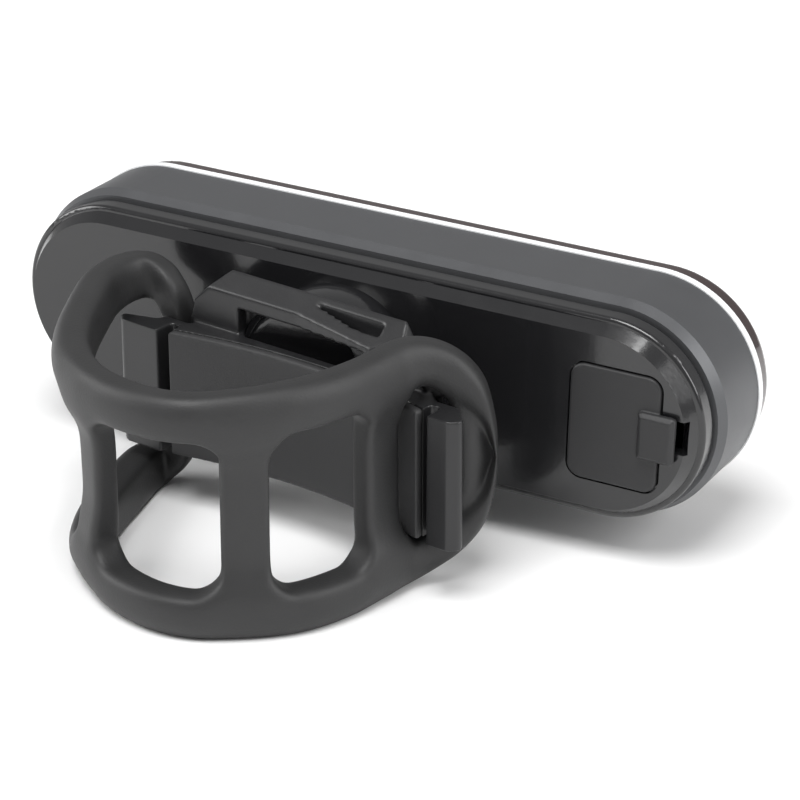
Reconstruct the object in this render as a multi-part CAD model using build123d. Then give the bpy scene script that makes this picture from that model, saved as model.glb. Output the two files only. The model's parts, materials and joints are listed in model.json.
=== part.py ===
"""Bicycle tail light with its seat-post bracket and ladder strap.

Millimetres. Origin on the seat post's axis, level with the middle of the bracket's ears.
+Z runs up along the post, +Y points from the post towards the light's lens, +X to the right
as seen from the post. The light is modelled upright in its own frame, with y = 0 at the rear
edge of the grey wall, and is then turned about the ball of its bracket into the shared frame.
"""
from build123d import *
import os

# Light: overall size and wall
LENGTH = 97.1
HEIGHT = 27.8
WALL = 1.8
WALL_FRONT = 9.5             # front edge of the grey wall
LENS_FRONT = 14.6            # front of the lens
LENS_INSET = 0.45
LENS_ROUND = 1.5             # rounding of the lens's front edge
GUIDE_DEPTH = 1.1            # white strip that shows between the wall and the lens
CHAMFER_DEPTH = 1.4          # textured chamfer behind the grey wall
CHAMFER_INSET = 0.65
BEAD_REAR = -4.5             # end of the rounded bead round the rear cover
BEAD_INSET = 1.05
BAND_INSET = 1.55            # start of the sloping band
BACK = -6.15                 # flat back of the light
BACK_INSET = 2.8
COVER_THICKNESS = 1.8
SPIGOT_FRONT = 0.2           # end of the spigot that carries the seal
BOARD_REAR = 5.45
BOARD_FRONT = 6.65

# Ball joint, in the light's frame
PIVOT_DEPTH = 3.0            # ball centre in front of the flat back
DOME_R = 10.7
DOME_FRONT = 4.4             # dome ends this far in front of the ball centre
BALL_R = 3.4
SHELL = 0.7                  # thickness of each liner shell
GAP = 0.15                   # running gap between the ball, liners and socket
SOCKET_R = BALL_R + 2 * SHELL + 3 * GAP
MOUTH_R = 3.3
SOCKET_LIP = 2.0             # inside of the socket's front wall, from the ball centre
TRAY_REAR = -2.4
CELL_X = -10.5               # middle of the battery cell
CELL_REAR = -1.1
CELL_FRONT = 3.7
TRAY_POSTS = [(-30, -6), (-30, 6), (13, -6), (13, 6)]
SEAL_REAR = -1.0
SEAL_INSET = 2.9

# Pose of the light on its bracket, as photographed
PIVOT = (-3.18, 21.86, 3.44)  # ball centre, measured from the bracket's drawing origin
YAW = 9.6
PITCH = -0.3
SPIN = 1.3

# Charging port and its flap, in the light's frame
PORT_X = 36.3
PORT_Z = 0.0
FLAP_LEFT = 30.9
FLAP_RIGHT = 42.5
FLAP_BOTTOM = -7.4
FLAP_TOP = 7.3
FLAP_CORNER = 1.8
FLAP_PROUD = 0.35
FLAP_SINK = 0.9
FLAP_GAP = 0.25
TAB_LEFT = 40.0
TAB_RIGHT = 44.7
TAB_BOTTOM = -2.9
TAB_TOP = 3.1
NOTCH_X = 44.2
NOTCH_R = 1.8

SCREW_PLACES = [(-42, -7.4), (-42, 7.4), (24.5, -10.3), (24.5, 10.3)]

# Bracket, drawn with the ears' front at y = 10 and moved forward so that the post's axis is the origin
POST_R = 13.6
SADDLE_Y = 12.6              # pad surface on the centre plane
SADDLE_SAG = 2.4             # the pad's ends stand this much nearer the post
SADDLE_HALF = 19.2
PAD = 1.2
PLATE = 2.2
EAR_FRONT = 10.0
EAR_BACK = 14.0
EAR_IN = 20.7
LEFT_EAR_OUT = 27.5
RIGHT_EAR_OUT = 24.8
HALF_HEIGHT = 8.2
HOOD_BACK = 17.5
HOOD_TOP = 15.4
HOOD_LEFT = -14.5
HOOD_RIGHT = 12.2
DISH_BOTTOM = 15.0
DISH_GAP = 0.6               # room between the dish and the dome

# Ladder strap; its left side leans inwards, so the top and bottom rails run on two paths
STRAP_HALF = 15.3            # half the strap's height
WINDOW_HALF = 10.0
RAIL = 4.2                   # thickness of the rails
RUNG = 2.9                   # thickness of the rungs
TOP_PATH = [(-22.2, 16.0), (-31.4, 16.0), (-28.2, 1.8), (-9.9, -16.4),
            (5.3, -15.8), (15.7, -0.8), (16.2, 9.8), (22.2, 18.4)]
BOTTOM_PATH = [(-21.4, 15.6), (-29.6, 15.6), (-26.8, 1.8), (-9.1, -16.0),
               (5.5, -15.6), (15.7, -0.8), (16.2, 9.8), (22.2, 18.4)]
STRAP_BENDS = [5.9, 14.0, 14.0, 14.0, 20.0, 10.0]
LEFT_BAR = 0.8               # straight part of the left end bar, before its round end
RIGHT_BAR = 3.9
BEAD_R = 2.0                 # rounded bead on the right end bar
BEAD_FROM_END = 2.2
RUNG_LENGTH = 5.6
RUNG_PLACES = [44.2, 65.9, 83.6]
LEFT_END_ROUND = 7.5
RIGHT_END_ROUND = 11.0
STRAP_EDGE = 1.3
WINDOW_CORNER = 2.0

# Button on the underside
BUTTON_X = -18.0
BUTTON_LENGTH = 11.0
BUTTON_WIDTH = 3.8
BUTTON_Y = 2.85
BUTTON_TRAVEL = 0.5


def face_at(y):
    """Sketch plane at depth y that faces the post, with X right and Z up."""
    return Plane(origin=(0, y, 0), x_dir=(1, 0, 0), z_dir=(0, -1, 0))


def slab(sketch, back, front):
    """Solid of a sketch from depth back to depth front."""
    return extrude(face_at(front) * sketch, amount=front - back)


def track(inset):
    """The light's outline, drawn in by inset."""
    return SlotOverall(LENGTH - 2 * inset, HEIGHT - 2 * inset)


def taper(back, back_inset, front, front_inset):
    """Sloping band between two outlines."""
    return loft([face_at(back) * track(back_inset), face_at(front) * track(front_inset)], ruled=True)


def ring(outer, inner, back, front):
    return slab(track(outer) - track(inner), back, front)


def edges_at(solid, y, tolerance=0.01):
    """Edges of a solid that lie wholly at depth y."""
    found = []
    for edge in solid.edges():
        box = edge.bounding_box()
        if abs(box.min.Y - y) < tolerance and abs(box.max.Y - y) < tolerance:
            found.append(edge)
    return found


def pivot_y():
    return BACK - PIVOT_DEPTH


def place(solid):
    """Moves a piece of the bracket so that the post's axis is the origin."""
    return Pos(0, POST_R - SADDLE_Y, 0) * solid


def aim(solid):
    """Places a piece of the light on its bracket."""
    turn = Rot(0, 0, YAW) * Rot(PITCH, 0, 0) * Rot(0, SPIN, 0)
    return place(Pos(*PIVOT) * turn * Pos(0, -pivot_y(), 0) * solid)


def make_shell():
    body = taper(-CHAMFER_DEPTH, CHAMFER_INSET, 0, 0) + ring(0, WALL, 0, WALL_FRONT)
    body -= slab(track(WALL), -CHAMFER_DEPTH - 1, WALL_FRONT + 1)
    body += ring(WALL - 0.1, WALL + 1.6, BOARD_REAR - 1.45, BOARD_REAR - 0.05)
    for x, z in SCREW_PLACES:
        body += slab(Pos(x, z) * Circle(1.9), 0.8, BOARD_REAR - 0.05) & slab(track(WALL - 0.1), 0, 7)
    for x, z in SCREW_PLACES:
        body -= slab(Pos(x, z) * Circle(0.72), 1.2, 6)
    body -= slab_below(BUTTON_LENGTH + 2.2, BUTTON_WIDTH + 1.4, HEIGHT / 2 - 4.5, HEIGHT / 2 - WALL)
    return body - slab_below(BUTTON_LENGTH + 0.4, BUTTON_WIDTH + 0.4, HEIGHT / 2 - 4.5, HEIGHT / 2 + 1)


def slab_below(length, width, near, far):
    """Stadium along X that stands downwards at the button's place, between two depths below the axis."""
    plane = Plane(origin=(BUTTON_X, BUTTON_Y, -near), x_dir=(1, 0, 0), z_dir=(0, 0, -1))
    return extrude(plane * SlotOverall(length, width), amount=far - near)


def make_light_guide():
    body = ring(-0.15, 2.6, WALL_FRONT, WALL_FRONT + GUIDE_DEPTH)
    return body + ring(WALL + 0.15, 2.6, WALL_FRONT - 1.2, WALL_FRONT + 0.2)


def make_lens():
    cap = slab(track(LENS_INSET), WALL_FRONT + GUIDE_DEPTH, LENS_FRONT)
    cap = fillet(edges_at(cap, LENS_FRONT), LENS_ROUND)
    return cap - slab(track(2.2), WALL_FRONT, LENS_FRONT - 1.6)


def make_cover():
    """Rear cover: bead, sloping band, flat back, dome with the ball socket, port well and nail notch."""
    bead_front = -CHAMFER_DEPTH - 0.3
    bead = slab(track(BEAD_INSET), BEAD_REAR, bead_front)
    bead = fillet(edges_at(bead, BEAD_REAR) + edges_at(bead, bead_front), 0.55)
    band = taper(BACK, BACK_INSET, BEAD_REAR + 0.3, BAND_INSET)
    spigot = slab(track(WALL + 0.15), BEAD_REAR, SPIGOT_FRONT)
    body = bead + band + spigot
    body -= slab(track(WALL + 2.0), BACK + COVER_THICKNESS, 1)
    body -= ring(WALL, SEAL_INSET, SEAL_REAR, SEAL_REAR + 1.0)
    body += make_dome()
    body -= socket_space()
    for x, z in TRAY_POSTS:
        body += slab(Pos(x, z) * Circle(1.4), BACK + COVER_THICKNESS - 0.2, TRAY_REAR)
    well = slab(flap_outline(FLAP_GAP), BACK - 1, BACK + FLAP_SINK)
    pad = slab(Pos(PORT_X, PORT_Z) * SlotOverall(13.4, 7.4, rotation=90), BACK + 0.3, BACK + 3.4)
    seat = slab(Pos(PORT_X, PORT_Z) * SlotOverall(11.0, 5.2, rotation=90), BACK - 1, BACK + 2.2)
    port = slab(Pos(PORT_X, PORT_Z) * SlotOverall(9.5, 3.7, rotation=90), BACK - 1, BACK + 5)
    notch = Pos(NOTCH_X, BACK + 0.2, (TAB_BOTTOM + TAB_TOP) / 2 + 0.4) * Cylinder(NOTCH_R, 4.2)
    body = body + pad
    return body - well - seat - port - notch


def flap_outline(extra):
    middle = Pos((FLAP_LEFT + FLAP_RIGHT) / 2, (FLAP_BOTTOM + FLAP_TOP) / 2)
    width = FLAP_RIGHT - FLAP_LEFT + 2 * extra
    return middle * RectangleRounded(width, FLAP_TOP - FLAP_BOTTOM + 2 * extra, FLAP_CORNER + extra)


def make_dome():
    centre = pivot_y()
    ball = Pos(0, centre, 0) * Sphere(DOME_R)
    zone = slab(Rectangle(30, 30), centre - DOME_FRONT, BACK + 0.4)
    dome = ball & zone
    dome = fillet(edges_at(dome, centre - DOME_FRONT), 1.2)
    hub = slab(Circle(SOCKET_R + 1.6), centre - 1, centre + 5.9)
    return dome + hub


def socket_space():
    """Socket for the ball and liners: round in front, a straight bore behind, and a mouth for the neck."""
    centre = pivot_y()
    front = centre - SOCKET_LIP
    sphere = Pos(0, centre, 0) * Sphere(SOCKET_R)
    space = sphere & slab(Rectangle(20, 20), front, centre + SOCKET_R)
    space += slab(Circle(SOCKET_R), centre, centre + 6.2)
    return space + slab(Circle(MOUTH_R), centre - 12, centre)


def liner(inner, front_cut, rear_cut):
    """Spherical shell round the ball, cut square in front and behind."""
    centre = pivot_y()
    shell = Pos(0, centre, 0) * (Sphere(inner + SHELL) - Sphere(inner))
    return shell & slab(Rectangle(20, 20), centre - front_cut, centre + rear_cut)


def make_liner_inner():
    return liner(BALL_R + GAP, 1.2, 1.6)


def make_liner_outer():
    return liner(BALL_R + 2 * GAP + SHELL, SOCKET_LIP - GAP, 2.6)


def make_friction_spring():
    """Dished spring that presses on the outer liner's rim."""
    centre = pivot_y()
    start = centre + 2.62
    profile = Polyline((3.5, start), (5.0, start + 0.85), (5.0, start + 1.2), (3.5, start + 0.35), close=True)
    return revolve(Plane.XY * make_face(profile), axis=Axis.Y)


def make_socket_plug():
    """Threaded plug that backs the spring, with a slot for a driver."""
    start = pivot_y() + 3.84
    plug = slab(Circle(SOCKET_R - 0.1), start, start + 1.6)
    return plug - slab(Rectangle(7, 1.0), start + 0.9, start + 2)


def make_seal():
    return ring(WALL + 0.02, SEAL_INSET - 0.05, SEAL_REAR + 0.05, SEAL_REAR + 0.95)


def led_places():
    """Centres of the lamps, two rows of nine."""
    return [(x, z) for x in [-36 + 9 * i for i in range(9)] for z in (-4.4, 4.4)]


def make_reflector():
    """Moulded reflector with a square-mouthed cup round each lamp."""
    rear = BOARD_FRONT + 2.05
    body = slab(track(3.1), rear, rear + 3.7)
    for x, z in led_places():
        mouth = face_at(rear + 3.8) * (Pos(x, z) * Rectangle(8.0, 7.6))
        foot = face_at(rear - 0.1) * (Pos(x, z) * Rectangle(3.2, 3.2))
        body -= loft([foot, mouth], ruled=True)
    return body


def make_circuit_board():
    body = slab(track(WALL + 0.5), BOARD_REAR, BOARD_FRONT)
    for x, z in SCREW_PLACES:
        body -= slab(Pos(x, z) * Circle(1.0), BOARD_REAR - 1, BOARD_FRONT + 1)
    return body


def make_lamps():
    package = Rectangle(2.4, 2.4)
    return Compound([slab(Pos(x, z) * package, BOARD_FRONT, BOARD_FRONT + 1.35) for x, z in led_places()])


def make_chips():
    """Parts on the back of the board: controller, charger, coil and small blocks."""
    places = [(29.5, -1.0, 5.0, 5.0, 1.0), (30.0, 6.0, 3.0, 3.0, 0.9), (22.5, 0.5, 4.0, 4.0, 1.6),
              (18.0, -8.0, 2.0, 1.2, 0.8), (18.0, 8.0, 2.0, 1.2, 0.8)]
    chips = []
    for x, z, width, height, thickness in places:
        chips.append(slab(Pos(x, z) * Rectangle(width, height), BOARD_REAR - thickness, BOARD_REAR))
    return Compound(chips)


def make_board_screws():
    screws = []
    for x, z in SCREW_PLACES:
        shank = slab(Pos(x, z) * Circle(0.7), 1.5, BOARD_FRONT + 0.1)
        head = slab(Pos(x, z) * Circle(1.5), BOARD_FRONT + 0.02, BOARD_FRONT + 0.85)
        cross = slab(Pos(x, z) * (Rectangle(2.0, 0.4) + Rectangle(0.4, 2.0)), BOARD_FRONT + 0.45, BOARD_FRONT + 1)
        screws.append(shank + head - cross)
    return Compound(screws)


def make_battery():
    cell = slab(Pos(CELL_X, 0) * RectangleRounded(50, 17.6, 2.5), CELL_REAR, CELL_FRONT)
    return fillet(edges_at(cell, CELL_REAR) + edges_at(cell, CELL_FRONT), 0.9)


def make_battery_tray():
    """Tray behind the cell, with a rim round it and three slots."""
    tray = slab(Pos(CELL_X, 0) * RectangleRounded(53, 19.6, 3.5), TRAY_REAR, 1.3)
    tray -= slab(Pos(CELL_X, 0) * RectangleRounded(50.4, 18.0, 2.7), CELL_REAR - 0.05, 3)
    for x in (-28, -19, 10):
        tray -= slab(Pos(x, 0) * RectangleRounded(6, 13, 1.5), TRAY_REAR - 1, 1)
    return tray


def make_foam_pad():
    """Foam strip that holds the cell against its tray."""
    return slab(Pos(CELL_X, 0) * Rectangle(30, 8), CELL_FRONT + 0.02, BOARD_REAR - 0.02)


def make_usb_socket():
    """Steel can of the charging socket."""
    can = slab(Pos(PORT_X, PORT_Z) * SlotOverall(9.0, 3.2, rotation=90), BACK + 2.3, BACK + 8.6)
    return can - slab(Pos(PORT_X, PORT_Z) * SlotOverall(8.4, 2.6, rotation=90), BACK, BACK + 7.7)


def make_usb_tongue():
    tongue = slab(Pos(PORT_X, PORT_Z) * Rectangle(0.7, 6.7), BACK + 3.3, BACK + 7.7)
    return tongue + slab(Pos(PORT_X, PORT_Z) * Rectangle(1.6, 7.0), BACK + 6.9, BACK + 7.7)


def make_usb_board():
    board = slab(Pos(PORT_X, PORT_Z) * RectangleRounded(7.0, 14.0, 1.0), BACK + 8.6, BACK + 9.6)
    for z in (-5.4, 5.4):
        board += slab(Pos(PORT_X, PORT_Z + z) * Rectangle(1.2, 1.2), BACK + 9.5, BOARD_REAR)
    return board


def make_flap():
    """Rubber flap with a finger tab and a plug that closes the port well."""
    leaf = slab(flap_outline(0), BACK - FLAP_PROUD, BACK + FLAP_SINK - 0.15)
    leaf = fillet(edges_at(leaf, BACK - FLAP_PROUD), 0.3)
    grip = RectangleRounded(TAB_RIGHT - TAB_LEFT, TAB_TOP - TAB_BOTTOM, 0.5)
    middle = Pos((TAB_LEFT + TAB_RIGHT) / 2, (TAB_BOTTOM + TAB_TOP) / 2)
    tab = slab(middle * grip, BACK - 1.35, BACK - FLAP_PROUD + 0.1)
    tab = chamfer(edges_at(tab, BACK - 1.35), 0.5)
    plug = slab(Pos(PORT_X, PORT_Z) * SlotOverall(10.5, 4.7, rotation=90), BACK + 0.5, BACK + 1.95)
    return leaf + tab + plug


def make_button():
    reach = HEIGHT / 2
    cap = slab_below(BUTTON_LENGTH, BUTTON_WIDTH, reach - 2.0, reach + 0.7)
    flange = slab_below(BUTTON_LENGTH + 1.4, BUTTON_WIDTH + 0.9, reach - 2.5, reach - 1.9)
    low = cap.edges().group_by(Axis.Z)[0]
    return fillet(low, 0.4) + flange


def make_button_switch():
    """Side switch on the board's lower edge, with its plunger under the button."""
    reach = HEIGHT / 2
    body = Pos(BUTTON_X, BOARD_REAR - 1.97, -(reach - 4.2)) * Box(6.0, 3.9, 1.0)
    return body + Pos(BUTTON_X, BUTTON_Y, -(reach - 3.5)) * Cylinder(1.0, 0.6)


def saddle_arc(offset, half):
    """Arc across the bracket, offset behind the pad's surface."""
    y = SADDLE_Y + offset
    return [(-half, y - SADDLE_SAG), (0, y), (half, y - SADDLE_SAG)]


def saddle_slab(near, far, half):
    """Curved plate between two offsets behind the pad's surface."""
    a = saddle_arc(near, half)
    b = saddle_arc(far, half)
    outline = ThreePointArc(*a) + Line(a[2], b[2]) + ThreePointArc(b[2], b[1], b[0]) + Line(b[0], a[0])
    return Pos(0, 0, -HALF_HEIGHT) * extrude(make_face(outline), amount=2 * HALF_HEIGHT)


def prism(points, low, high):
    """Upright prism of a plan outline."""
    return extrude(Plane.XY.offset(low) * make_face(Polyline(*points, close=True)), amount=high - low)


def make_ear(side, reach):
    """Lug that the strap's end loop hooks over: a wide front lip, a waist behind it and a groove beside the pad."""
    plan = [(EAR_IN, EAR_FRONT), (reach - 1.0, EAR_FRONT), (reach, EAR_FRONT + 0.9), (reach, EAR_FRONT + 1.7),
            (23.4, EAR_FRONT + 2.9), (22.6, EAR_BACK), (19.4, EAR_BACK), (17.4, 15.6), (15.0, 15.4), (18.6, 12.6),
            (EAR_IN, 12.9)]
    ear = prism([(side * x, y) for x, y in plan], -HALF_HEIGHT, HALF_HEIGHT)
    lip = [e for e in ear.edges().filter_by(Axis.Z) if abs(e.center().X) > 23.5]
    return fillet(lip, 0.35)


def make_hood():
    """Raised back of the bracket: shoulders, sloping top and the block that faces the dome."""
    outline = [(-19.6, -HALF_HEIGHT + 1.5), (-17.0, -HALF_HEIGHT), (15.4, -HALF_HEIGHT), (17.6, -HALF_HEIGHT + 1.5),
               (17.6, 7.4), (15.9, 9.4), (HOOD_RIGHT, HOOD_TOP), (HOOD_LEFT, HOOD_TOP), (-18.8, 11.2), (-19.6, 8.4)]
    back = extrude(face_at(HOOD_BACK) * make_face(Polyline(*outline, close=True)), amount=2.6)
    plan = [(HOOD_LEFT, HOOD_BACK), (HOOD_RIGHT, HOOD_BACK), (HOOD_RIGHT + 0.4, 15.4), (9.6, 13.6), (-13.0, 16.0),
            (HOOD_LEFT, 16.4)]
    top = prism(plan, 6.0, HOOD_TOP)
    slope = Plane(origin=(0, HOOD_BACK, HOOD_TOP), x_dir=(1, 0, 0), z_dir=(0, -0.62, 0.78))
    above = extrude(slope * Rectangle(80, 60), amount=12)
    return back + top - above


def make_bracket():
    body = saddle_slab(PAD, PAD + PLATE, SADDLE_HALF) + make_hood()
    body += make_ear(1, RIGHT_EAR_OUT)
    body += make_ear(-1, LEFT_EAR_OUT)
    core = prism([(-16.5, 14.0), (17.0, 14.0), (17.0, 16.0), (-16.5, 16.0)], -HALF_HEIGHT, HALF_HEIGHT)
    body += core
    dish_side = [(DISH_BOTTOM, -10), (DISH_BOTTOM, 8), (17.2, 14.4), (28, 14.4), (28, -10)]
    side_plane = Plane(origin=(-30, 0, 0), x_dir=(0, 1, 0), z_dir=(1, 0, 0))
    limit = extrude(side_plane * make_face(Polyline(*dish_side, close=True)), amount=60)
    body -= (Pos(*PIVOT) * Sphere(DOME_R + DISH_GAP)) & limit
    body -= prism([(-11.8, 10), (8.6, 10), (8.6, 16.4), (-11.8, 16.6)], HALF_HEIGHT, 11.6)
    body -= prism([(-2.2, 16.6), (9.6, 16.55), (9.8, 15.0), (5.8, 15.3)], 10.0, 20.0)
    for x in (-14.2, 14.4):
        body -= Pos(x, 14.9, -HALF_HEIGHT) * Box(4.6, 2.4, 12.0)
    px, py, pz = PIVOT
    body -= Pos(px, 14, pz) * Cylinder(1.5, 6, rotation=(90, 0, 0))
    body -= Pos(px, 12.9, pz) * Cylinder(3.1, 2.0, rotation=(90, 0, 0))
    return body


def make_pad():
    body = saddle_slab(0, PAD, SADDLE_HALF)
    px, py, pz = PIVOT
    body -= Pos(px, 13.9, pz) * Cylinder(3.1, 2.0, rotation=(90, 0, 0))
    return body


def make_ball_stud():
    """Stud staked through the bracket's plate: head, shank, collar, neck and ball."""
    px, py, pz = PIVOT
    profile = [(0, 12.95), (2.9, 12.95), (2.9, 13.85), (1.5, 13.85), (1.5, DISH_BOTTOM), (2.5, DISH_BOTTOM), (2.5, 15.7),
               (1.7, 16.3), (1.7, py - 2.0), (0, py - 2.0)]
    stud = revolve(Plane.XY * make_face(Polyline(*profile, close=True)), axis=Axis.Y)
    return Pos(px, 0, pz) * stud + Pos(*PIVOT) * Sphere(BALL_R)


def strap_path():
    """Middle line of the strap, halfway between its rails."""
    middle = [((a + c) / 2, (b + d) / 2) for (a, b), (c, d) in zip(TOP_PATH, BOTTOM_PATH)]
    return FilletPolyline(*middle, radius=STRAP_BENDS)


def end_corners(end, before, roundness):
    """Cutter that rounds the two corners at one end of the strap."""
    run = Vector(end[0] - before[0], end[1] - before[1], 0).normalized()
    plane = Plane(origin=(end[0], end[1], 0), x_dir=run, z_dir=(run.Y, -run.X, 0))
    tip = RAIL / 2
    blank = Pos(tip + 1 - roundness / 2, 0) * Rectangle(roundness + 2, 2 * STRAP_HALF + 1)
    keep = Pos(tip - 20, 0) * RectangleRounded(40, 2 * STRAP_HALF, roundness)
    return extrude(plane * (blank - keep), amount=5, both=True)


def rail_outline(path, height):
    """Plan outline of the strap at one height."""
    outline = offset(FilletPolyline(*path, radius=STRAP_BENDS), amount=RAIL / 2, side=Side.BOTH)
    return Plane.XY.offset(height) * make_face(outline)


def strap_band():
    """The strap as a plain band with rounded ends and edges, before its windows."""
    sections = [rail_outline(BOTTOM_PATH, -STRAP_HALF), rail_outline(TOP_PATH, STRAP_HALF)]
    band = loft(sections, ruled=True)
    rims = [e for e in band.edges() if abs(abs(e.center().Z) - STRAP_HALF) < 0.01]
    band = fillet(rims, STRAP_EDGE)
    band -= end_corners(TOP_PATH[0], TOP_PATH[1], LEFT_END_ROUND)
    return band - end_corners(TOP_PATH[-1], TOP_PATH[-2], RIGHT_END_ROUND)


def strap_strip(start, end, near, far):
    """Plan outline of the strap between two places along it and two offsets outwards."""
    path = strap_path()
    steps = [start + (end - start) * i / 8 for i in range(9)]
    sides = []
    for reach in (near, far):
        points = []
        for step in steps:
            held = min(max(step, 0), path.length)
            along = path.tangent_at(held, PositionMode.LENGTH)
            point = path.position_at(held, PositionMode.LENGTH) + (step - held) * along
            points.append((point.X + reach * along.Y, point.Y - reach * along.X))
        sides.append(points)
    return sides[0] + sides[1][::-1]


def window(start, end, radius):
    """Cutter for one window, with rounded corners."""
    cutter = prism(strap_strip(start, end, -4, 4), -WINDOW_HALF, WINDOW_HALF)
    rims = [e for e in cutter.edges() if abs(abs(e.center().Z) - WINDOW_HALF) < 0.01]
    return fillet([e for e in rims if abs(e.length - 8) < 0.01], radius)


def make_strap():
    """Ladder strap: two rails, three rungs and an end bar that hooks over each ear."""
    length = strap_path().length
    edges = [p + d for p in RUNG_PLACES for d in (-RUNG_LENGTH / 2, RUNG_LENGTH / 2)]
    edges = [LEFT_BAR] + edges + [length - RIGHT_BAR]
    body = strap_band()
    for start, end in zip(edges[::2], edges[1::2]):
        body -= window(start, end, WINDOW_CORNER)
    thinned = [(middle - 3.4, middle + 3.4, RUNG - RAIL / 2) for middle in RUNG_PLACES]
    thinned += [(-RAIL, LEFT_BAR + 1, 1.3), (length - RIGHT_BAR - 1, length + RAIL, 0.3)]
    for start, end, level in thinned:
        body -= prism(strap_strip(start, end, level, RAIL), -WINDOW_HALF, WINDOW_HALF)
    body -= prism(strap_strip(-RAIL, LEFT_BAR + 1, -RAIL, -1.3), -WINDOW_HALF, WINDOW_HALF)
    centre = strap_path().position_at(length - BEAD_FROM_END, PositionMode.LENGTH)
    return body + Pos(centre.X, centre.Y, 0) * Cylinder(BEAD_R, 2 * WINDOW_HALF + 0.6)


PIECES = {
    "housing_shell": make_shell, "light_guide": make_light_guide, "lens": make_lens, "rear_cover": make_cover,
    "liner_inner": make_liner_inner, "liner_outer": make_liner_outer, "friction_spring": make_friction_spring,
    "socket_plug": make_socket_plug, "cover_seal": make_seal, "reflector": make_reflector,
    "circuit_board": make_circuit_board, "lamps": make_lamps, "board_chips": make_chips,
    "board_screws": make_board_screws, "battery_cell": make_battery, "battery_tray": make_battery_tray,
    "foam_pad": make_foam_pad, "usb_socket": make_usb_socket, "usb_tongue": make_usb_tongue,
    "usb_board": make_usb_board, "usb_flap": make_flap, "power_button": make_button,
    "button_switch": make_button_switch,
}
BRACKET_PIECES = {
    "bracket_body": make_bracket, "saddle_pad": make_pad, "ball_stud": make_ball_stud, "strap": make_strap,
}

if __name__ == "__main__":
    os.makedirs("parts", exist_ok=True)
    for name, make in PIECES.items():
        export_step(aim(make()), f"parts/{name}.step")
    for name, make in BRACKET_PIECES.items():
        export_step(place(make()), f"parts/{name}.step")
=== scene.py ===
import json
import math

import bmesh
import bpy
import numpy as np
from mathutils import Matrix, Vector


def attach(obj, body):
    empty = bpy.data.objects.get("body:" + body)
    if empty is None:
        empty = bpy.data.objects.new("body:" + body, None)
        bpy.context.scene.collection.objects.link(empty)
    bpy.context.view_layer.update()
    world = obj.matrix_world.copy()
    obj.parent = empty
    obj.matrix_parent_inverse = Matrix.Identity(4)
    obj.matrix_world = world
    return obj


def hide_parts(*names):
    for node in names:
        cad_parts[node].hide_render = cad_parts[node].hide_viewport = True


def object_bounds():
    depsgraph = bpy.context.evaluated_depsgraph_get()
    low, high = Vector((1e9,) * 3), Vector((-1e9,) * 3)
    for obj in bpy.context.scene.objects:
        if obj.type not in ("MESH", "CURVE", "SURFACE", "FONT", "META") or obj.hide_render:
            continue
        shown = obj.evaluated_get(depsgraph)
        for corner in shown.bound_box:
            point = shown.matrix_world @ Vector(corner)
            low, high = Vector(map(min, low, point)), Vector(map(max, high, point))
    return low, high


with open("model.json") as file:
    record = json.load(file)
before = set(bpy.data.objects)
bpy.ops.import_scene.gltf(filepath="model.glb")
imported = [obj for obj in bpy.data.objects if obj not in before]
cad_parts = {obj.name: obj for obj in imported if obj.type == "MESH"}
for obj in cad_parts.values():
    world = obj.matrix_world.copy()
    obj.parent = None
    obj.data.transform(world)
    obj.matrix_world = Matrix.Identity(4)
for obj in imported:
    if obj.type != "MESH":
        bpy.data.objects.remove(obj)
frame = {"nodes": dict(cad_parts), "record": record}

CAD_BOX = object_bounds()
MM = 0.001

# Camera: the photograph's direction and distance, in the frame's millimetres
CAMERA_AZIMUTH = 38.0
CAMERA_ELEVATION = 24.0
CAMERA_PLACE = Vector((205.29, -230.07, 145.37))
CAMERA_LENS = 131.68

# Studio: strength of the light all round, and of the white that the camera sees
SOFT_STRENGTH = 0.35
WHITE_STRENGTH = 1.0
LAMP_AIM = Vector((0, 0.01, 0))
FLOOR_SIZE = 2.0

# Strap: middle lines of its top and bottom rails, in plan, from the left end round the post to the right end
TOP_RAIL = [(-23.0, 17.2), (-25.6, 17.0), (-27.6, 15.3), (-28.1, 12.2), (-27.0, 7.8), (-24.8, 4.0), (-22.5, 0.4),
            (-19.6, -3.9), (-16.7, -7.5), (-14.1, -10.1), (-11.3, -12.2), (-7.9, -14.0), (-5.2, -14.9), (-1.7, -15.4),
            (2.5, -15.2), (5.4, -14.2), (7.7, -12.6), (11.3, -7.9), (14.2, -1.7), (15.5, 4.2), (16.0, 9.0),
            (16.3, 12.2), (17.6, 15.2), (20.0, 17.6), (22.2, 19.4)]
BOTTOM_RAIL = [(-22.4, 17.0), (-24.4, 16.4), (-25.4, 14.4), (-24.6, 11.4), (-22.7, 6.6), (-20.9, 1.8), (-18.6, -3.0),
               (-16.2, -6.6), (-13.5, -8.8), (-10.7, -10.5), (-7.8, -11.9), (-4.8, -12.9), (-1.6, -13.4), (1.2, -13.4),
               (3.9, -12.8), (6.1, -11.8), (9.3, -9.2), (12.2, -6.2), (14.4, -2.3), (15.6, 2.6), (16.3, 8.7),
               (16.5, 12.2), (17.7, 15.2), (20.0, 17.6), (22.2, 19.4)]
# Lengths along the top rail and the lengths along the bottom rail that stand under them
MATCH_TOP = [0, 39.5, 45.0, 61.1, 95.5]
MATCH_BOTTOM = [0, 30.0, 35.4, 54.3, 88.8]

# Strap: where it ends, how far its tips stand past its ends, its bars and its heights
STRAP_END = 95.4
TIP = 2.1
LEFT_BAR_END = 0.9
RIGHT_BAR_START = STRAP_END - 3.6
STRAP_RUNGS = [(39.4, 45.0), (61.0, 66.6), (79.5, 85.0)]
STRAP_HALF = 15.3
WINDOW_HALF = 9.9
LEFT_ROUND = 7.4
RIGHT_ROUND = 12.0
WINDOW_ROUND = 1.8
COLUMN_STEP = 1.9

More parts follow.
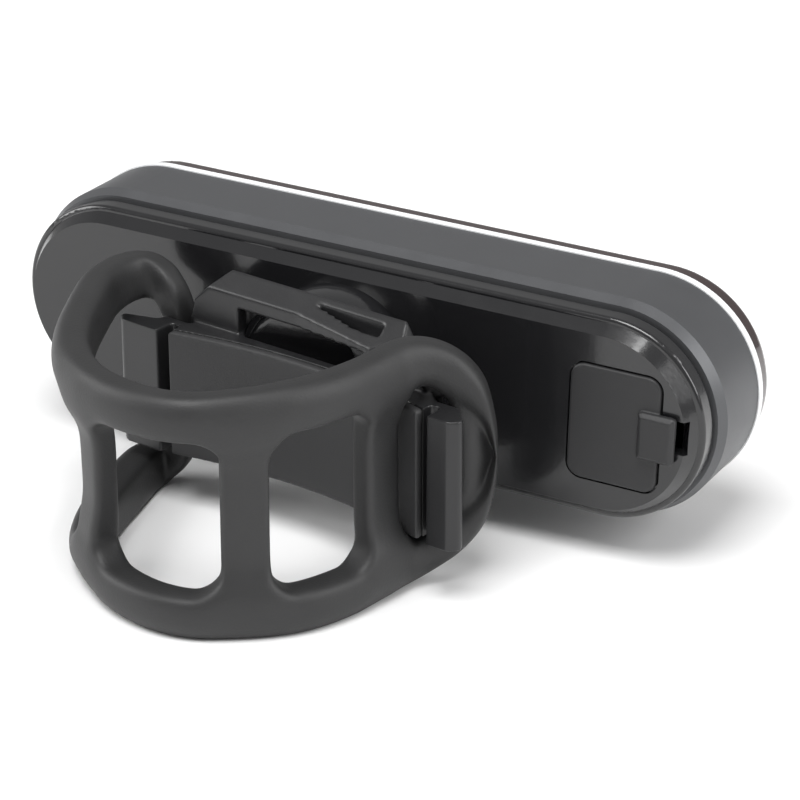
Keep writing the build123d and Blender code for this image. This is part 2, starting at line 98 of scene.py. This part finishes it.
# Strap: rows of its mesh across the height, of which those between the rails are empty in a window
ROW_COUNT = 15
RAIL_CELLS = 4
BAR_ROWS = (0.76, 0.38, 0.0, -0.38, -0.76)
RAIL_OUT = (0.5, 0.94, 1.08, 1, 0.72)
RAIL_IN = (-1.7, -2.15, -2.2, -2.2, -1.9)


def look(azimuth, elevation):
    """Rotation of a camera or lamp that stands in this direction from the object and looks at it."""
    return Matrix.Rotation(math.radians(azimuth), 3, "Z") @ Matrix.Rotation(math.radians(90 - elevation), 3, "X")


def add(piece):
    """Puts an object into the scene."""
    bpy.context.scene.collection.objects.link(piece)
    return piece


def make_camera():
    """Camera where the photograph was taken from."""
    data = bpy.data.cameras.new("camera")
    data.lens = CAMERA_LENS
    data.clip_start = 0.01
    camera = bpy.data.objects.new("camera", data)
    camera.location = CAMERA_PLACE * MM
    camera.rotation_euler = look(CAMERA_AZIMUTH, CAMERA_ELEVATION).to_euler()
    add(camera)
    bpy.context.scene.camera = camera


def make_lamp(name, azimuth, elevation, distance, size, power):
    """Soft rectangular lamp aimed at the object from one direction."""
    data = bpy.data.lights.new(name, "AREA")
    data.shape = "RECTANGLE"
    data.size, data.size_y = size
    data.energy = power
    lamp = bpy.data.objects.new(name, data)
    turn = look(azimuth, elevation)
    lamp.location = turn @ Vector((0, 0, distance)) + LAMP_AIM
    lamp.rotation_euler = turn.to_euler()
    add(lamp)


def make_background(nodes, strength):
    """White light of the world at one strength."""
    light = nodes.new("ShaderNodeBackground")
    light.inputs["Color"].default_value = (1, 1, 1, 1)
    light.inputs["Strength"].default_value = strength
    return light


def make_world():
    """Plain light all round, white to the camera and through glass."""
    world = bpy.data.worlds.new("studio")
    bpy.context.scene.world = world
    world.use_nodes = True
    nodes = world.node_tree.nodes
    links = world.node_tree.links
    nodes.clear()
    output = nodes.new("ShaderNodeOutputWorld")
    path = nodes.new("ShaderNodeLightPath")
    soft = make_background(nodes, SOFT_STRENGTH)
    white = make_background(nodes, WHITE_STRENGTH)
    seen = nodes.new("ShaderNodeMath")
    seen.operation = "MAXIMUM"
    mix = nodes.new("ShaderNodeMixShader")
    links.new(path.outputs["Is Camera Ray"], seen.inputs[0])
    links.new(path.outputs["Is Transmission Ray"], seen.inputs[1])
    links.new(seen.outputs[0], mix.inputs[0])
    links.new(soft.outputs[0], mix.inputs[1])
    links.new(white.outputs[0], mix.inputs[2])
    links.new(mix.outputs[0], output.inputs["Surface"])


def finish_of(name, color, roughness, metallic=0.0, grain=0.0, grain_size=0.25, mottle=0.0, mottle_size=4.0,
              uneven=0.06, coat=0.0, transmission=0.0):
    """Moulded material: fine grain as bump, slow mottling and slightly uneven roughness. Sizes in millimetres."""
    material = bpy.data.materials.new(name)
    material.use_nodes = True
    nodes = material.node_tree.nodes
    links = material.node_tree.links
    shader = nodes["Principled BSDF"]
    shader.inputs["Metallic"].default_value = metallic
    shader.inputs["Coat Weight"].default_value = coat
    shader.inputs["Coat Roughness"].default_value = 0.08
    shader.inputs["Transmission Weight"].default_value = transmission
    place = nodes.new("ShaderNodeTexCoord")
    slow = nodes.new("ShaderNodeTexNoise")
    slow.inputs["Scale"].default_value = 1000 / mottle_size
    slow.inputs["Detail"].default_value = 3
    links.new(place.outputs["Object"], slow.inputs["Vector"])
    tint = nodes.new("ShaderNodeMix")
    tint.data_type = "RGBA"
    tint.inputs[6].default_value = (*[c * (1 - mottle) for c in color], 1)
    tint.inputs[7].default_value = (*[min(1, c * (1 + mottle)) for c in color], 1)
    links.new(slow.outputs["Fac"], tint.inputs[0])
    links.new(tint.outputs[2], shader.inputs["Base Color"])
    rough = nodes.new("ShaderNodeMapRange")
    rough.inputs["To Min"].default_value = max(0.02, roughness - uneven)
    rough.inputs["To Max"].default_value = min(1, roughness + uneven)
    links.new(slow.outputs["Fac"], rough.inputs["Value"])
    links.new(rough.outputs["Result"], shader.inputs["Roughness"])
    if grain:
        fine = nodes.new("ShaderNodeTexNoise")
        fine.inputs["Scale"].default_value = 1000 / grain_size
        fine.inputs["Detail"].default_value = 2
        links.new(place.outputs["Object"], fine.inputs["Vector"])
        bump = nodes.new("ShaderNodeBump")
        bump.inputs["Strength"].default_value = grain
        bump.inputs["Distance"].default_value = grain_size * 0.4 * MM
        links.new(fine.outputs["Fac"], bump.inputs["Height"])
        links.new(bump.outputs["Normal"], shader.inputs["Normal"])
    return material


def smooth_line(points, steps=12):
    """Dense smooth line through plan points: running length, points and outward normals."""
    given = np.array(points, float)
    ends = np.vstack([2 * given[0] - given[1], given, 2 * given[-1] - given[-2]])
    line = []
    for i in range(1, len(ends) - 2):
        a, b, c, d = ends[i - 1:i + 3]
        for k in range(steps):
            t = k / steps
            line.append(0.5 * (2 * b + (c - a) * t + (2 * a - 5 * b + 4 * c - d) * t * t
                               + (3 * b - a - 3 * c + d) * t ** 3))
    line = np.array(line + [given[-1]])
    length = np.r_[0, np.cumsum(np.hypot(*np.diff(line, axis=0).T))]
    along = np.gradient(line, length, axis=0)
    along /= np.hypot(*along.T)[:, None]
    return length, line, np.stack([along[:, 1], -along[:, 0]], 1)


def on_line(line, where):
    """Point and outward normal at a length along a line, straight on beyond its ends."""
    length, points, normals = line
    held = min(max(where, 0), length[-1])
    point = np.array([np.interp(held, length, points[:, i]) for i in (0, 1)])
    normal = np.array([np.interp(held, length, normals[:, i]) for i in (0, 1)])
    normal /= np.hypot(*normal)
    return point + (where - held) * np.array([-normal[1], normal[0]]), normal


LINE_TOP = smooth_line(TOP_RAIL)
LINE_BOTTOM = smooth_line(BOTTOM_RAIL)


def strap_point(where, height, out):
    """Point of the strap at a length along it, a height and an offset outwards."""
    low = where + np.interp(where, MATCH_TOP, np.array(MATCH_BOTTOM) - np.array(MATCH_TOP))
    top, top_normal = on_line(LINE_TOP, where)
    bottom, bottom_normal = on_line(LINE_BOTTOM, low)
    share = (height + STRAP_HALF) / (2 * STRAP_HALF)
    normal = bottom_normal + (top_normal - bottom_normal) * share
    normal /= np.hypot(*normal)
    point = bottom + (top - bottom) * share + out * normal
    return Vector((point[0], point[1], height)) * MM


def rounded(distance, radius):
    """Drop of a quarter circle at this distance from its end."""
    if distance >= radius:
        return 0.0
    return radius - math.sqrt(radius * radius - (radius - max(distance, 0)) ** 2)


def strap_columns():
    """Lengths along the strap, and whether each stretch between two of them is a solid bar."""
    stops = [(-TIP, LEFT_BAR_END, True, 4)]
    left = LEFT_BAR_END
    for start, end in STRAP_RUNGS:
        stops.append((left, start, False, max(4, round((start - left) / COLUMN_STEP))))
        stops.append((start, end, True, 4))
        left = end
    stops.append((left, RIGHT_BAR_START, False, 4))
    stops.append((RIGHT_BAR_START, STRAP_END + TIP, True, 6))
    columns = []
    solid = []
    for start, end, bar, count in stops:
        for i in range(count):
            columns.append(start + (end - start) * i / count)
            solid.append(bar)
    return columns + [STRAP_END + TIP], solid


def window_gap(where):
    """Distance from a place in a window to the nearest end of it, and 0 on bars."""
    starts = [LEFT_BAR_END] + [end for _, end in STRAP_RUNGS]
    ends = [start for start, _ in STRAP_RUNGS] + [RIGHT_BAR_START]
    for start, end in zip(starts, ends):
        if start <= where <= end:
            return min(where - start, end - where)
    return 0.0


def bar_offset(where):
    """Outer offset of the rungs and end bars: level on rungs, a little more at the left end, beaded at the right."""
    if where < 3:
        return 0.9
    if where < STRAP_END - 5:
        return 0.75
    bead = where - (STRAP_END - 1.7)
    return 0.3 + 2.0 * math.sqrt(max(0.0, 1 - (bead / 2.3) ** 2))


def strap_rows(where):
    """Rows at one length, lowest first: height, outer offset and inner offset of each."""
    tip_left = where + TIP
    tip_right = STRAP_END + TIP - where
    half = STRAP_HALF - rounded(tip_left, LEFT_ROUND) - rounded(tip_right, RIGHT_ROUND)
    rail = 5.4 - 2.0 * max(0, 1 - tip_left / 5) - 2.6 * max(0, 1 - tip_right / 8)
    edge = min(WINDOW_HALF, half - rail) - rounded(window_gap(where), WINDOW_ROUND)
    raise_end = 1.0 * min(1, max(0, (where - STRAP_END + 18) / 18))
    thick = 2.2 + 0.5 * min(1, max(0, (45 - where) / 20))
    thin_left = 1 - 0.35 * min(1, max(0, (3 - where) / 3))
    span = half - edge
    heights = [half + 0.15, half - 0.22 * span, edge + 0.5 * span, edge + 0.2 * span, edge]
    rails = [(height, thick * out * thin_left, back) for height, out, back in zip(heights, RAIL_OUT, RAIL_IN)]
    rows = list(rails)
    for share in BAR_ROWS:
        low_flare = 0.7 if share < -0.5 and where < 50 else 0.0
        rows.append((edge * share, bar_offset(where) + low_flare, -2.2 if where > 3 else -1.3))
    rows += [(-height, out, back) for height, out, back in reversed(rails)]
    return [(height + raise_end, out, back) for height, out, back in reversed(rows)]


def make_strap():
    """Ladder strap as one sheet of quads with windows, closed by walls and rounded by subdivision."""
    columns, solid = strap_columns()
    vertices = []
    index = {}

    def vertex(c, r, side):
        key = (c, r, side)
        if key not in index:
            height, out, back = strap_rows(columns[c])[r]
            offset = (out, (out + back) / 2, back)[side]
            index[key] = len(vertices)
            vertices.append(strap_point(columns[c], height, offset))
        return index[key]

    def filled(c, r):
        if c < 0 or c >= len(solid) or r < 0 or r >= ROW_COUNT - 1:
            return False
        return solid[c] or r < RAIL_CELLS or r >= ROW_COUNT - 1 - RAIL_CELLS

    faces = []
    for c in range(len(solid)):
        for r in range(ROW_COUNT - 1):
            if not filled(c, r):
                continue
            corners = [(c, r), (c + 1, r), (c + 1, r + 1), (c, r + 1)]
            faces.append([vertex(*k, 0) for k in corners])
            faces.append([vertex(*k, 2) for k in reversed(corners)])
            neighbours = [(c, r - 1), (c + 1, r), (c, r + 1), (c - 1, r)]
            for i, beside in enumerate(neighbours):
                if filled(*beside):
                    continue
                a, b = corners[i], corners[(i + 1) % 4]
                faces.append([vertex(*b, 0), vertex(*a, 0), vertex(*a, 1), vertex(*b, 1)])
                faces.append([vertex(*b, 1), vertex(*a, 1), vertex(*a, 2), vertex(*b, 2)])
    return mesh_piece("ladder_strap", vertices, faces, 2)


def mesh_piece(name, vertices, faces, levels):
    """Object of a closed mesh with outward faces, smooth shaded and subdivided."""
    mesh = bpy.data.meshes.new(name)
    mesh.from_pydata([tuple(v) for v in vertices], [], faces)
    mesh.validate()
    work = bmesh.new()
    work.from_mesh(mesh)
    bmesh.ops.recalc_face_normals(work, faces=work.faces)
    work.to_mesh(mesh)
    work.free()
    for polygon in mesh.polygons:
        polygon.use_smooth = True
    piece = add(bpy.data.objects.new(name, mesh))
    smoother = piece.modifiers.new("rounding", "SUBSURF")
    smoother.levels = levels
    smoother.render_levels = levels
    return piece


def soften(piece, voxel, turns):
    """Rounds the edges of a moulded piece: even quads, then smoothing."""
    remesh = piece.modifiers.new("quads", "REMESH")
    remesh.mode = "VOXEL"
    remesh.voxel_size = voxel * MM
    remesh.use_smooth_shade = True
    smoother = piece.modifiers.new("soft_edges", "SMOOTH")
    smoother.factor = 0.5
    smoother.iterations = turns


def copy_of(node, name):
    """Copy of a CAD node's mesh as an object of its own, to be softened."""
    piece = bpy.data.objects.new(name, frame["nodes"][node].data.copy())
    piece.data.materials.clear()
    return add(piece)


def finish_piece(piece, slot, body, node):
    """Gives a piece its material and its body, and hides the CAD node that it stands for."""
    piece.data.materials.append(FINISHES[slot])
    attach(piece, body)
    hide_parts(node)


make_camera()
make_world()
make_lamp("key", 20, 70, 1.0, (0.6, 0.5), 9)
make_lamp("left", -60, 25, 0.9, (0.5, 0.5), 4)
make_lamp("right", 110, 30, 0.9, (0.4, 0.6), 4)
bpy.context.scene.view_settings.view_transform = "Standard"

# Finishes by material slot: colour, roughness, and what else each has
FINISHES = {name: finish_of(name, color, roughness, **more) for name, color, roughness, more in [
    ("grey_shell", (0.10, 0.102, 0.107), 0.42, {"metallic": 0.5, "grain": 0.35, "grain_size": 0.16, "mottle": 0.05}),
    ("cover_black", (0.012, 0.012, 0.013), 0.2, {"grain": 0.05, "grain_size": 0.6, "coat": 0.4}),
    ("bracket_black", (0.016, 0.016, 0.017), 0.34, {"grain": 0.12, "grain_size": 0.3, "mottle": 0.1}),
    ("strap_rubber", (0.02, 0.02, 0.0205), 0.52,
     {"grain": 0.25, "grain_size": 0.3, "mottle": 0.22, "mottle_size": 5}),
    ("pad_rubber", (0.03, 0.03, 0.031), 0.6, {"grain": 0.2, "grain_size": 0.25, "mottle": 0.12}),
    ("flap_rubber", (0.02, 0.02, 0.021), 0.5, {"grain": 0.2, "grain_size": 0.2, "mottle": 0.1}),
    ("lens_smoke", (0.05, 0.03, 0.03), 0.06, {"transmission": 0.35, "coat": 0.6}),
    ("guide_clear", (0.86, 0.87, 0.88), 0.25, {"mottle": 0.02}),
    ("reflector_silver", (0.72, 0.73, 0.75), 0.18, {"metallic": 0.9}),
    ("board_green", (0.02, 0.11, 0.05), 0.4, {"mottle": 0.1, "mottle_size": 2}),
    ("chip_black", (0.03, 0.03, 0.03), 0.5, {"grain": 0.1}),
    ("lamp_white", (0.85, 0.8, 0.5), 0.3, {}),
    ("steel", (0.6, 0.6, 0.6), 0.28, {"metallic": 1.0, "grain": 0.05, "grain_size": 0.1}),
    ("cell_foil", (0.62, 0.63, 0.65), 0.3, {"metallic": 0.9, "mottle": 0.05}),
    ("inner_plastic", (0.06, 0.06, 0.065), 0.5, {"grain": 0.1}),
    ("liner_white", (0.75, 0.75, 0.72), 0.35, {}),
    ("foam_grey", (0.12, 0.12, 0.12), 0.9, {"grain": 0.5, "grain_size": 0.3}),
    ("button_black", (0.02, 0.02, 0.021), 0.45, {"grain": 0.15, "grain_size": 0.2}),
]}
for sub in frame["record"]["subparts"]:
    materials = frame["nodes"][sub["node"]].data.materials
    materials.clear()
    materials.append(FINISHES[sub["material_slot"]])

finish_piece(make_strap(), "strap_rubber", "bracket", "strap")

# Rubber pieces with the form of their own solids, softened: node, name, body, slot, voxel and rounds of smoothing
for node, name, body, slot, voxel, turns in [
        ("saddle_pad", "saddle_cushion", "bracket", "pad_rubber", 0.25, 3),
        ("usb_flap", "port_flap", "flap", "flap_rubber", 0.12, 3),
        ("power_button", "button_cap", "button", "button_black", 0.15, 3)]:
    piece = copy_of(node, name)
    soften(piece, voxel, turns)
    finish_piece(piece, slot, body, node)
soften(frame["nodes"]["bracket_body"], 0.2, 5)

bpy.ops.mesh.primitive_plane_add(size=FLOOR_SIZE, location=(0, 0, CAD_BOX[0][2]))
floor = bpy.context.object
floor.name = "floor"
floor.data.materials.append(finish_of("floor", (0.9, 0.9, 0.9), 0.9, mottle=0.01))
